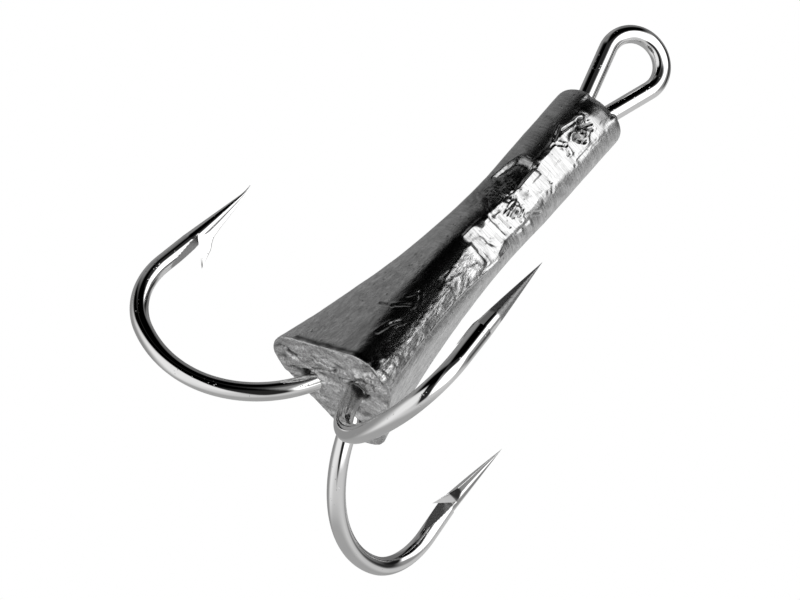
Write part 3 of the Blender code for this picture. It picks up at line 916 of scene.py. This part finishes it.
def scoop(points, azimuth, height):
    """The dent beside the strip, its lip, the drag marks below it, and how deep it is there."""
    fall_from, fall_over, fall = LIP_FALL
    lip = SCOOP_LIP - fall * np.clip((fall_from - azimuth) / fall_over, 0.0, LIP_FALL_LIMIT) ** 2
    below = lip - height + 0.10 * soft_noise(points, 0.9, 33)
    across = band(azimuth, SCOOP_EDGES[0] + 4.0, SCOOP_EDGES[1] - 4.0, 5.0)
    length = np.interp(azimuth, (SCOOP_EDGES[0], 45.0), (1.8, SCOOP_LENGTH))
    hollow = smooth_step(0.0, 1.25, below) * fall_off(0.0, 1.0, (below - 1.1) / (length - 1.1))
    hollow = hollow * across
    move = 0.06 * across * bump(below, -0.25, 0.3) - SCOOP_DEPTH * hollow
    crescent = across * band(below, 0.1, 1.2, 0.2)
    slanted = slanted_points(points, azimuth, DRAG_SLANT)
    drag = band(azimuth, 10.0, 64.0, 12.0) * band(height, *DRAG_HEIGHTS, 1.2)
    move = move + drag * 0.26 * (np.abs(soft_noise(slanted, 0.42, 34)) - 0.3)
    hatch = band(azimuth, *HATCH_EDGES, 8.0) * band(height, *HATCH_HEIGHTS, 1.0)
    crossed = slanted_points(points, azimuth, HATCH_SLANT)
    scratch = np.maximum(thin_lines(slanted, 0.55, 40), thin_lines(crossed, 0.65, 63))
    return move + hatch * 0.06 * scratch, np.maximum(hollow, 1.6 * crescent), drag


def rough_share(azimuth, height, wobble):
    """Share of the front corner that is rough as cast, from its left edge to the fin."""
    left = np.interp(height, ROUGH_HEIGHTS, ROUGH_LEFT)
    fin = np.interp(height, FIN_HEIGHTS, FIN_AZIMUTHS)
    rough = smooth_step(left - 2.5, left + 2.5, azimuth + wobble)
    rough = rough * fall_off(fin - 1.5, fin + 0.5, azimuth)
    return rough * fall_off(ROUGH_TOP - 1.0, ROUGH_TOP + 1.0, height)


def front_corner(points, azimuth, height):
    """The fin, the crest with its bead and the crumpled foot, and the share of the bright bead."""
    widening, flare_top = DEGREE_FLARE
    degree = DEGREE * (1.0 + widening * fall_off(0.0, flare_top, height))
    from_fin = (azimuth - np.interp(height, FIN_HEIGHTS, FIN_AZIMUTHS)) * degree
    from_crest = (azimuth - CREST_AZIMUTH) * degree
    fin_height = FIN_HEIGHT * fall_off(*FIN_END, height) * (0.8 + 0.5 * soft_noise(points, 1.1, 37))
    move = fin_height * bump(from_fin, 0.0, RIDGE_WIDTH)
    crest = np.clip(1.0 - np.abs(from_crest) / CREST_HALF_WIDTH, 0.0, 1.0) ** CREST_POWER
    bead = bump(from_crest, 0.0, RIDGE_WIDTH) * (0.7 + 0.5 * soft_noise(points, 0.9, 44))
    crest_part = fall_off(*CREST_END, height)
    move = move + crest_part * (CREST_HEIGHT * crest + BEAD_HEIGHT * bead)
    foot_azimuth, foot_width, foot_low, foot_high = FOOT
    foot = bump(azimuth, foot_azimuth, foot_width) * fall_off(foot_low, foot_high, height)
    return move + foot * noise_sum(facet_noise, points, FOOT_FACETS), crest_part * bead


def groove_marks(azimuth, height):
    """Outward movement of the grooves and cuts, and the painted shade along them."""
    move, painted_shade = np.zeros_like(height), np.zeros_like(height)
    for groove in GROOVES:
        depth, half_width = groove[4:]
        distance = from_segment(azimuth, height, groove)
        move = move + pulled_lip(distance, depth, half_width)
        # painted shade along each groove, darker for deeper grooves
        share = min(GROOVE_PAINTED_SHADE * depth, DEEPEST_PAINTED_SHADE)
        painted_shade = np.maximum(painted_shade, share * bump(distance, 0.0, 0.8 * half_width))
    return move, painted_shade


def side_tarnish_and_shade(points, azimuth, height, strip):
    """How dull the side is: tarnish by height, painted shade on the leaning top of the strip, and dulling
    where hands held it.
    """
    tarnish_and_shade = np.interp(height, TARNISH_HEIGHTS, TARNISH) * (1.0 - strip)
    tarnish_and_shade = tarnish_and_shade * band(azimuth, *TARNISH_EDGES, 20.0) * (1.0 + 0.5 * soft_noise(points, 2.0, 43))
    # painted shade on the leaning top of the strip
    bevel_from, _, low, high = TOP_BEVEL
    bevel = band(azimuth, low, high, 6.0) * smooth_step(bevel_from - 0.3, bevel_from + 0.3, height)
    held_azimuth, held_width, held_low, held_high, held_share = HANDLED
    handled = bump(azimuth, held_azimuth, held_width) * fall_off(held_low, held_high, height)
    return np.maximum.reduce([tarnish_and_shade, BEVEL_PAINTED_SHADE * bevel, held_share * handled])


def side_shape(points, azimuth, height):
    """Outward movement of the weight's side, and its surface as shares for LEAD_SURFACES."""
    wobble = noise_sum(soft_noise, points, EDGE_WOBBLE)
    strip = band(azimuth + wobble, *STRIP_EDGES, 7.0) * band(height, *STRIP_HEIGHTS, 0.5)
    rough = rough_share(azimuth, height, wobble)
    dent, hollow, drag = scoop(points, azimuth, height)
    corner, bead = front_corner(points, azimuth, height)
    cuts, painted_shade = groove_marks(azimuth + 0.35 * wobble, height)
    edge_height, edge_low, edge_high = LOW_EDGE
    move = 0.035 * layered_noise(points, 6.0, 3, layers=2) + 0.014 * layered_noise(points, 1.3, 5)
    move = move + beaten_strip(points, azimuth, height, strip) + dent + corner + cuts
    move = move + rough * noise_sum(facet_noise, points * ROUGH_DRAWN_DOWN, ROUGH_FACETS)
    move = move + edge_height * fall_off(edge_low, edge_high, height) * layered_noise(points, 0.9, 41)
    # painted shade: a dark line along the lower edge of the side
    line, half_width, left, right = EDGE_PAINTED_SHADE
    uneven = height + 0.2 * soft_noise(points, 0.8, 42)
    edge_shade = bump(uneven, line, half_width) * band(azimuth, left, right, 12.0)
    rubbed = band(azimuth, *RUBBED_EDGES, 7.0) * fall_off(*RUBBED_END, height) * (1.0 - rough)
    worn = np.maximum.reduce([strip, DENT_BRIGHTNESS * hollow, rubbed, bead])
    rough_cast = np.maximum(rough, DRAG_ROUGHNESS * drag)
    return move, (worn, rough_cast, np.maximum(painted_shade, edge_shade), side_tarnish_and_shade(points, azimuth, height, strip))


# Lumps (+) and pits (-) on the base: x, y, radius and height
BASE_MARKS = (
    (0.5, 4.5, 0.35, 0.30), (-0.5, 4.6, 0.35, 0.28), (-0.5, 5.5, 0.40, 0.26), (0.3, 5.2, 0.25, 0.22),
    (0.8, 5.8, 0.30, -0.30), (1.2, 6.6, 0.28, -0.25), (1.8, 5, 0.30, -0.25), (-1.2, 5, 0.30, -0.2),
    (6.2, -0.6, 0.40, -0.35), (6.9, -0.9, 0.35, -0.30), (5, 1.4, 0.28, -0.30), (5.1, 2.2, 0.26, -0.30),
    (4, -1.6, 0.40, -0.30), (5, -2.4, 0.6, -0.20), (6.6, -2.5, 0.6, -0.20), (3.6, -1, 0.35, 0.25),
)
FLOW_ALONG = np.array([-0.5, 0.87, 0.0])  # the metal flowed this way across the base
FLOW_STRETCH = 0.33  # and its marks are drawn out by about the inverse of this
BASE_STEADY = 0.95  # its relief fades out beyond this share of the radius
FACE_ROUGHNESS = 0.6
WORN_RISE = (0.05, 0.30)  # raised metal is rubbed bright between these heights
PAINTED_SHADE_DEPTH = (0.16, 0.36)  # and hollows are darkened with painted shade between these depths
TOP_RELIEF = 0.05
BASE_GRAIN = ((0.05, 0.6, 53), (0.02, 0.35, 59))  # height, size and seed
TORN_FACETS = ((0.30, 0.9, 57), (0.14, 0.4, 58))


def wire_exits():
    """Where each hook's wire leaves the base, and which way it heads there."""
    exits = []
    for hook in HOOKS.values():
        centres, _, _ = hook_line(hook)
        i = int(np.argmax(centres[:, 2] < LEAD_BASE_Z + BASE_TILT * centres[:, 1]))
        exits.append((centres[i], radial(hook)))
    return exits


def torn_corner(points):
    """Share of the bright torn metal between the front hook and the front corner of the base."""
    ragged = points[..., 1] + 0.5 * soft_noise(points, 0.9, 62)
    return bump(points[..., 0], 0.6, 1.8) * smooth_step(5.6, 7.2, ragged)


def base_shape(points):
    """Movement of the base face out of the weight: flow marks, cracks and torn metal round the wires."""
    flow = points - (1.0 - FLOW_STRETCH) * (points @ FLOW_ALONG)[..., None] * FLOW_ALONG
    move = 0.20 * layered_noise(flow, 1.9, 51) + 0.16 * facet_noise(flow, 1.1, 52)
    move = move + noise_sum(facet_noise, points, BASE_GRAIN)
    cracks = np.abs(layered_noise(flow, 1.5, 54, layers=2))
    where = smooth_step(-0.1, 0.2, soft_noise(points, 2.2, 55))
    move = move - 0.30 * where * fall_off(0.0, 0.10, cracks)
    for x, y, radius, height in BASE_MARKS:
        distance = np.hypot(points[..., 0] - x, points[..., 1] - y)
        move = move + height * bump(distance + 0.2 * soft_noise(points, 0.5, 60), 0.0, radius)
    for (x, y, _), heading in wire_exits():
        away = points[..., :2] - np.array([x, y])
        distance = np.linalg.norm(away, axis=-1)
        side = away @ heading[:2] / np.maximum(distance, 0.01)
        ragged = distance + 0.22 * soft_noise(points, 0.6, 56)
        move = move + 0.26 * bump(ragged, 1.65, 0.35) * (0.5 - 0.5 * side)
        move = move - 0.45 * bump(ragged, 1.05, 0.32) * smooth_step(-0.2, 0.8, side)
        move = move - 0.18 * bump(ragged, 1.05, 0.25)
    return move + torn_corner(points) * noise_sum(facet_noise, points, TORN_FACETS)


def lead_piece(material):
    rings, azimuths, heights, zones = lead_grid()
    normals = grid_normals(rings)
    azimuth, height = np.meshgrid(np.degrees(azimuths), heights)
    side, surfaces = side_shape(rings, azimuth, height)
    face, torn = base_shape(rings), torn_corner(rings)
    zone = zones[:, None]
    edge_fade = np.ones(len(rings))
    edge_fade[:BASE_RINGS] = fall_off(BASE_STEADY, 1.0, np.linspace(0.0, 1.0, BASE_RINGS))
    move = np.where(zone == BASE_ZONE, face * edge_fade[:, None], side)
    move = np.where(zone == TOP_ZONE, TOP_RELIEF * layered_noise(rings, 1.2, 61), move)
    rings = rings + normals * move[..., None]
    vertices, faces = closed_tube(rings, rings[0].mean(axis=0), rings[-1].mean(axis=0))
    piece = mesh_object("lead_casting", vertices, faces, material)
    face_outward(piece)
    # painted shade in the hollows of the base
    on_base = {"rough_cast": FACE_ROUGHNESS, "painted_shade": smooth_step(*PAINTED_SHADE_DEPTH, -face), "tarnish_and_shade": 0.0,
               "worn": np.maximum(smooth_step(*WORN_RISE, face), torn)}
    on_top = {"rough_cast": FACE_ROUGHNESS, "painted_shade": 0.0, "worn": 0.0, "tarnish_and_shade": 0.0}
    for name, values in zip(LEAD_SURFACES, surfaces):
        values = np.where(zone == BASE_ZONE, on_base[name], np.where(zone == TOP_ZONE, on_top[name], values))
        write_attribute(piece, name, np.append(values.ravel(), [0.0, 0.0]))
    return piece


# -------------------- studio

CAMERA_PLACE = Vector((79.58, 327.94, -178.60)) * METRES
CAMERA_BACK = Vector((0.212619, 0.899232, -0.382328))
CAMERA_UP = Vector((0.711278, 0.125850, 0.691552))
CAMERA_RIGHT = CAMERA_UP.cross(CAMERA_BACK)
CAMERA_LENS = 157.5
SENSOR_WIDTH = 36.0
CLIP_FROM_TO = (0.01, 20.0)  # in metres
FLOOR_Z = -700.0
FLOOR_SIZE = 6000.0
FLOOR_GREY = 0.9
FLOOR_ROUGHNESS = 0.8
FLOOR_GLOW = 0.72  # added light, because the grey studio leaves the floor dim

# The lighting, as soft-edged panels round the object. A place is (x, y) on a disc whose middle is the
# direction of the camera, right and up as the camera sees them; its rim, at 1, is directly behind.
# Each panel has its half sizes, its turn in degrees, the share of its size that fades, its brightness
Panel = namedtuple("Panel", "x y half_x half_y turn fade level")
STUDIO_LEVEL = 0.30
PANELS = (
    Panel(-0.44, -0.10, 0.27, 0.42, 0.0, 0.45, 0.92),  # broad fill from the left
    Panel(0.20, -0.50, 0.62, 0.24, 0.0, 0.45, 0.66),  # bounce from below
    Panel(-0.20, -0.80, 0.75, 0.24, 0.0, 0.50, 0.40),
    Panel(0.55, -0.85, 0.18, 0.09, 30.0, 0.5, 0.35),  # rim light low on the right
    Panel(1.00, 0.10, 0.18, 0.75, 0.0, 0.6, 0.17),  # dim wall on the right
    Panel(0.84, -0.42, 0.15, 0.36, -28.0, 0.5, 0.60),  # and the paler wall below it
    Panel(0.05, 0.95, 1.00, 0.36, 0.0, 0.4, 0.17),  # dim ceiling behind
    Panel(-0.30, 0.84, 0.20, 0.12, 0.0, 0.5, 0.30),
    Panel(-0.66, 0.66, 0.24, 0.10, 35.0, 0.5, 0.28),
    Panel(0.325, -0.045, 0.285, 0.295, 0.0, 0.14, 1.6),  # key softbox
    Panel(0.48, 0.28, 0.15, 0.16, 20.0, 0.25, 1.6),  # and its upper corner
    Panel(0.79, 0.06, 0.065, 0.34, 6.0, 0.6, 0.03),  # black flag beside the key
    Panel(0.68, 0.36, 0.075, 0.22, 32.0, 0.5, 0.01),
    Panel(0.17, 0.43, 0.27, 0.15, 12.0, 0.25, 0.03),  # black flag over the camera
    Panel(0.14, 0.60, 0.34, 0.17, -6.0, 0.22, 0.0),
    Panel(-0.33, 0.42, 0.25, 0.145, -10.0, 0.30, 0.0),
    Panel(-0.185, 0.18, 0.115, 0.27, 14.0, 0.20, 0.0),  # the camera and its stand
    Panel(-0.080, -0.12, 0.105, 0.27, 24.0, 0.28, 0.02),
)


def panel_share(tree, disc, panel):
    """1 inside a panel's rounded rectangle on the disc, fading to 0 outside it."""
    local = node(tree, "Mapping", {
        "Vector": disc, "Location": (panel.x, panel.y, 0.0),
        "Rotation": (0.0, 0.0, math.radians(panel.turn)),
        "Scale": (panel.half_x, panel.half_y, 1.0),
    }, vector_type="TEXTURE")
    squared = node(tree, "VectorMath", {0: local, 1: local}, operation="MULTIPLY")
    fourth = node(tree, "VectorMath", {0: squared, 1: squared}, output="Value", operation="DOT_PRODUCT")
    return node(tree, "MapRange", {
        "Value": maths(tree, "POWER", fourth, 0.25),
        "From Min": 1.0 + panel.fade, "From Max": 1.0 - panel.fade,
    }, interpolation_type="SMOOTHSTEP")


def studio_world():
    """White behind the object; what the metal reflects is the grey studio with its panels."""
    world = bpy.data.worlds.new("studio")
    bpy.context.scene.world = world
    world.use_nodes = True
    tree = world.node_tree
    tree.nodes.clear()
    direction = node(tree, "TexCoord", output="Generated")

    def along(axis):
        inputs = {0: direction, 1: tuple(axis)}
        return node(tree, "VectorMath", inputs, output="Value", operation="DOT_PRODUCT")

    right, up, front = along(CAMERA_RIGHT), along(CAMERA_UP), along(CAMERA_BACK)
    reach = maths(tree, "SQRT", maths(tree, "MULTIPLY_ADD", front, 2.0, 2.0001))
    disc_x = maths(tree, "DIVIDE", right, reach)
    disc_y = maths(tree, "DIVIDE", up, reach)
    disc = node(tree, "CombineXYZ", {"X": disc_x, "Y": disc_y})
    level = STUDIO_LEVEL
    for panel in PANELS:
        level = mix_values(tree, panel_share(tree, disc, panel), level, panel.level)
    seen = node(tree, "LightPath", output="Is Camera Ray")
    level = mix_values(tree, seen, level, 1.0)
    light = node(tree, "Background", {"Color": (1.0, 1.0, 1.0, 1.0), "Strength": level})
    node(tree, "OutputWorld", {"Surface": light})


def studio_floor():
    """A plain pale floor, far enough down to stay clear of a camera that looks up at the hooks."""
    made, tree = new_material("pale_floor")
    finish_shader(tree, {
        "Base Color": grey(FLOOR_GREY), "Roughness": FLOOR_ROUGHNESS,
        "Emission Color": grey(FLOOR_GREY), "Emission Strength": FLOOR_GLOW,
    })
    half = FLOOR_SIZE / 2.0
    corners = [(-half, -half, FLOOR_Z), (half, -half, FLOOR_Z), (half, half, FLOOR_Z), (-half, half, FLOOR_Z)]
    floor = mesh_object("floor", corners, [(0, 1, 2, 3)], made)
    floor.visible_glossy = False
    floor.visible_diffuse = False


def studio_camera():
    data = bpy.data.cameras.new("camera")
    data.lens = CAMERA_LENS
    data.sensor_width = SENSOR_WIDTH
    data.clip_start, data.clip_end = CLIP_FROM_TO
    camera = bpy.data.objects.new("camera", data)
    axes = Matrix((CAMERA_RIGHT, CAMERA_UP, CAMERA_BACK)).transposed()
    camera.matrix_world = Matrix.Translation(CAMERA_PLACE) @ axes.to_4x4()
    bpy.context.scene.collection.objects.link(camera)
    bpy.context.scene.camera = camera
    bpy.context.scene.view_settings.view_transform = "Standard"


# -------------------- the whole


def main():
    nickel = nickel_material()
    lead = lead_material()
    braze = braze_material()
    for made, stood_for, slot in (
        (double_hook(nickel), "double_hook", "nickelled_wire"),
        (single_hook(nickel), "single_hook", "nickelled_wire"),
        (lead_piece(lead), "lead_weight", "cast_lead"),
    ):
        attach(made, "root")
        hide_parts(stood_for)
    for name in ("braze_seam_back", "braze_seam_left", "braze_seam_right"):
        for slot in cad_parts[name].material_slots:
            slot.material = braze
    studio_world()
    studio_floor()
    studio_camera()


main()
